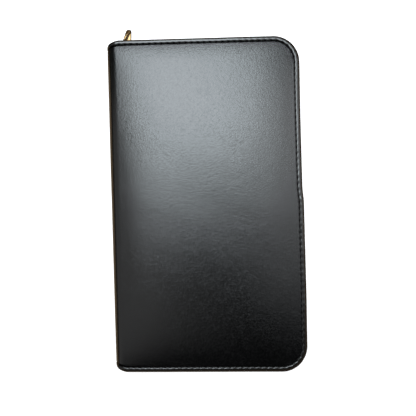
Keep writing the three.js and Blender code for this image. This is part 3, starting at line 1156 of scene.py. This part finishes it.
def add_pocket(node, body, look, threads):
    """A pocket panel sewn down on three sides, with a turned and stitched mouth."""
    low, high = node_box(node)
    up = 1 if body == "back" else -1
    back_z, face_z = (low[2], high[2]) if up == 1 else (high[2], low[2])
    x = low[0] + border_steps(high[0] - low[0], 2.2)
    y = low[1] + border_steps(high[1] - low[1], 2.2)
    grid_x, grid_y = np.meshgrid(x, y)
    rim = np.minimum.reduce([grid_x - low[0], high[0] - grid_x, grid_y - low[1], high[1] - grid_y])
    rounded = 0.32 * (1 - np.sqrt(np.clip(1 - (1 - np.clip(rim / 0.5, 0, 1)) ** 2, 0, 1)))
    sewn = np.minimum.reduce([grid_x - low[0], high[0] - grid_x, grid_y - low[1]])
    line = 0.14 * np.exp(-(((sewn - 2.0) / 0.5) ** 2))
    from_mouth = high[1] - grid_y
    hem = 0.14 * smoothstep((6.4 - from_mouth) / 0.5) - 0.1 * np.exp(
        -(((from_mouth - 5.2) / 0.45) ** 2)
    )
    soft = 0.05 * np.sin(grid_x / 9.0 + node_seed(node)) * np.sin(grid_y / 12.0)
    lift = hem - rounded - line + soft * np.clip(rim / 8, 0, 1)
    face = face_z + up * lift
    top = np.column_stack([grid_x.ravel(), grid_y.ravel(), face.ravel()])
    bottom = np.column_stack([grid_x.ravel(), grid_y.ravel(), np.full(top.shape[0], back_z)])
    rows, columns = grid_x.shape
    faces = grid_faces(rows, columns, flip=True)
    faces += grid_faces(rows, columns, first=len(top))
    border = (
        [c for c in range(columns)]
        + [r * columns + columns - 1 for r in range(1, rows)]
        + [(rows - 1) * columns + c for c in range(columns - 2, -1, -1)]
        + [r * columns for r in range(rows - 2, 0, -1)]
    )
    for a, b in zip(border, border[1:] + border[:1]):
        faces.append((a, a + len(top), b + len(top), b))
    if up == -1:
        faces = [f[::-1] for f in faces]
    piece = add_piece(node + "_panel", np.vstack([top, bottom]), faces, look)
    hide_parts(node)
    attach(piece, body)
    seam = face_z + up * -0.02
    left, right, foot, mouth = low[0] + 2, high[0] - 2, low[1] + 2, high[1] - 1.5
    seams = (
        ((left, mouth), (left, foot)),
        ((left, foot), (right, foot)),
        ((right, foot), (right, mouth)),
        ((low[0] + 3, high[1] - 5.2), (high[0] - 3, high[1] - 5.2)),
    )
    for start, end in seams:
        straight_stitches(threads, np.array(start), np.array(end), seam, up)
    return piece


def node_seed(node):
    """A different phase for each pocket's softness, from its name."""
    return sum(map(ord, node)) % 7


def straight_stitches(threads, start, end, z, up):
    """Small stitches along a straight seam."""
    pitch, long = 3.4, 2.5
    run = end - start
    length = float(np.hypot(*run))
    direction = run / length
    share = np.linspace(-1, 1, 5)
    for i in range(int(length / pitch)):
        places = (i + 0.5) * pitch + share * long / 2
        plan = start + places[:, None] * direction
        heights = z + up * (0.08 - 0.4 * np.abs(share) ** 3)
        threads.add(np.column_stack([plan, heights]), np.tile([0, 0, up], (len(share), 1)))


def add_pen_loop():
    """An elastic loop beside the spine; the sewn foot it stands on is not built here."""
    low, high = node_box("pen_loop")
    centre_x, centre_z = (low[0] + high[0]) / 2, (low[2] + high[2]) / 2
    outer = (high[0] - low[0]) / 2
    y = np.arange(low[1], high[1] + 0.01, 0.25)
    rib = 0.06 * np.cos(2 * math.pi * (y - low[1]) / 1.25)
    ends = np.minimum(y - low[1], high[1] - y)
    radius = outer - 0.05 + rib - 0.25 * np.exp(-ends / 0.25)
    angles = np.linspace(0, 2 * math.pi, 57)
    rings = []
    for angle in angles:
        sag = 1 - 0.02 * math.cos(2 * angle)
        rings.append(
            np.column_stack(
                [
                    centre_x + radius * sag * math.sin(angle),
                    y,
                    centre_z - radius / sag * math.cos(angle) * 0.99,
                ]
            )
        )
    points = np.vstack(rings)
    place = np.column_stack(
        [np.repeat(angles * outer, len(y)), np.tile(y, len(angles)), np.zeros(len(points))]
    )
    faces = grid_faces(len(angles), len(y))
    piece = add_piece("elastic_pen_loop", points, faces, "elastic", place=place, thickness=0.75)
    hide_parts("pen_loop")
    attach(piece, "back")
    return piece


# ---------------------------------------------------------------- the object

for is_front in (True, False):
    add_panel(is_front)
    add_edging(is_front)
    add_lining(is_front)
    add_edge_stitching(is_front)
    add_tape(is_front)
    add_teeth(is_front)

for cover in ("front", "back"):
    for end in ("top", "bottom"):
        polished(f"{cover}_zip_{end}_stop", f"{cover}_{end}_stop", "zip_metal", cover, 0.3)

polished("slider_body", "slider", "zip_metal", "slider", 0.22)
polished("pull_link", "link", "zip_metal", "link", 0, 70)
add_pull()

front_threads, back_threads = Threads(), Threads()
add_pocket("document_pocket", "back", "pocket_leather", back_threads)
add_pocket("passport_pocket", "back", "pocket_leather", back_threads)
add_pocket("ticket_pocket", "front", "pocket_leather", front_threads)
for number in range(1, 5):
    add_pocket(f"card_pocket_{number}", "front", "pocket_leather", front_threads)
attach(front_threads.piece("front_pocket_stitching"), "front")
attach(back_threads.piece("back_pocket_stitching"), "back")
add_pen_loop()

for board in ("front_stiffener_board", "back_stiffener_board", "spine_stiffener"):
    frame["nodes"][board].data.materials.clear()
    frame["nodes"][board].data.materials.append(LOOKS["board"])


# ------------------------------------------------------------ floor and light


def floor_paper():
    """White paper that glows a little, so that shadows on it stay faint. What it throws back on
    the leather is a dim, warm light, as from the table in the photograph."""
    look = Look("pale_floor", (0.85, 0.85, 0.85), 0.9)
    look.set("Specular IOR Level", 0.0)
    look.set("Emission Color", (1, 1, 1, 1))
    look.set("Emission Strength", 0.85)
    place = look.tree.nodes.new("ShaderNodeTexCoord").outputs["Object"]
    apart = look.node("ShaderNodeSeparateXYZ", Vector=place).outputs
    glow = look.mix(look.ramp(apart["X"], 0.0, 0.06, 0.0, 1.0), TABLE_GLOW, TABLE_SHADE)
    glow = look.mix(look.ramp(apart["Y"], 0.1, 0.13, 0.0, 0.85), glow, DARK_ROOM)
    away = look.tree.nodes.new("ShaderNodeVectorMath")
    away.operation = "LENGTH"
    look.link(place, away.inputs[0])
    glow = look.mix(look.ramp(away.outputs["Value"], 0.3, 0.7, 0.0, 1.0), glow, DARK_ROOM)
    warm = look.node("ShaderNodeBsdfDiffuse", Color=glow)
    wall = look.ramp(apart["Z"], 0.75, 1.4, 0.0, WALL_GLOW)
    wall = look.maths("MULTIPLY", wall, look.ramp(apart["Y"], 0.5, 2.0, 1.0, 0.2))
    tent = look.node("ShaderNodeEmission", Strength=wall)
    room = look.tree.nodes.new("ShaderNodeAddShader")
    look.link(warm.outputs[0], room.inputs[0])
    look.link(tent.outputs[0], room.inputs[1])
    seen = look.tree.nodes.new("ShaderNodeLightPath").outputs["Is Camera Ray"]
    both = look.tree.nodes.new("ShaderNodeMixShader")
    output = look.tree.nodes["Material Output"]
    look.link(seen, both.inputs[0])
    look.link(room.outputs[0], both.inputs[1])
    look.link(look.shader.outputs[0], both.inputs[2])
    look.link(both.outputs[0], output.inputs["Surface"])
    return look.material


def add_floor():
    """A round floor whose rim curves up all round, so that no horizon shows from low down."""
    flat, rise, around = 2.0, 2.0, 96
    turn = np.linspace(0, math.pi / 2, 16)
    rings = [(flat * share, 0.0) for share in (0.001, 0.5)]
    rings += [(flat + rise * math.sin(t), rise * (1 - math.cos(t))) for t in turn]
    points = [
        (r * math.cos(a), r * math.sin(a), z - 0.0004)
        for r, z in rings
        for a in np.linspace(0, 2 * math.pi, around + 1)
    ]
    mesh = bpy.data.meshes.new("floor")
    mesh.from_pydata(points, [], grid_faces(len(rings), around + 1))
    mesh.shade_smooth()
    floor = add_object("floor", mesh)
    mesh.materials.append(floor_paper())


def add_softbox(name, place, aim, width, height, power, colour, turn):
    lamp = bpy.data.lights.new(name, "AREA")
    lamp.shape = "RECTANGLE"
    lamp.size, lamp.size_y = width, height
    lamp.energy = power
    lamp.color = colour
    box = add_object(name, lamp)
    box.location = place
    aimed = (Vector(aim) - Vector(place)).to_track_quat("-Z", "Y")
    box.rotation_euler = (aimed @ Quaternion((0, 0, 1), math.radians(turn))).to_euler()
    box.visible_camera = False


def add_world(level):
    world = bpy.data.worlds.new("studio")
    world.use_nodes = True
    world.node_tree.nodes["Background"].inputs["Color"].default_value = (level, level, level, 1)
    bpy.context.scene.world = world


def add_camera():
    """Straight above the organizer, turned a little so that it lies turned in the picture."""
    height = 0.45
    frame_width = 0.2875
    roll = math.radians(1.65)
    sensor = 36.0
    camera = bpy.data.cameras.new("camera")
    camera.sensor_width = sensor
    camera.lens = sensor * height / frame_width
    eye = add_object("camera", camera)
    eye.location = (0, -0.0021, TOP_Z * MM + height - 0.002)
    eye.rotation_euler = (0, 0, -roll)
    bpy.context.scene.camera = eye


add_floor()
add_world(0.006)
# name, place, aim, width, height, power, colour, turn in degrees
SOFTBOXES = (
    ("main_softbox", (-0.08, 0.358, 1.05), (-0.07, 0.1, 0.0), 0.5, 0.64, 8.1, (0.865, 0.95, 1.0), 3),
    ("left_softbox", (-0.6, -0.1, 0.85), (0, 0, 0), 0.75, 1.2, 1.3, (1, 1, 1), 0),
    ("right_softbox", (0.55, 0.1, 0.85), (0, 0, 0), 0.5, 1.0, 1.6, (0.94, 0.97, 1.0), 0),
    ("warm_card", (0.5, 1.05, 0.28), (-0.05, 0.12, 0), 0.4, 0.3, 0.14, (1.0, 0.86, 0.66), 0),
    ("bright_card", (-0.1, 1.07, 0.3), (-0.05, 0.12, 0), 0.14, 0.28, 0.3, (1.0, 0.97, 0.9), 0),
    ("right_fill", (0.36, 0.22, 0.95), (0, 0.05, 0), 0.3, 0.45, 0.38, (0.94, 0.97, 1.0), 0),
)
for softbox in SOFTBOXES:
    add_softbox(*softbox)
add_camera()
bpy.context.scene.view_settings.view_transform = "Standard"
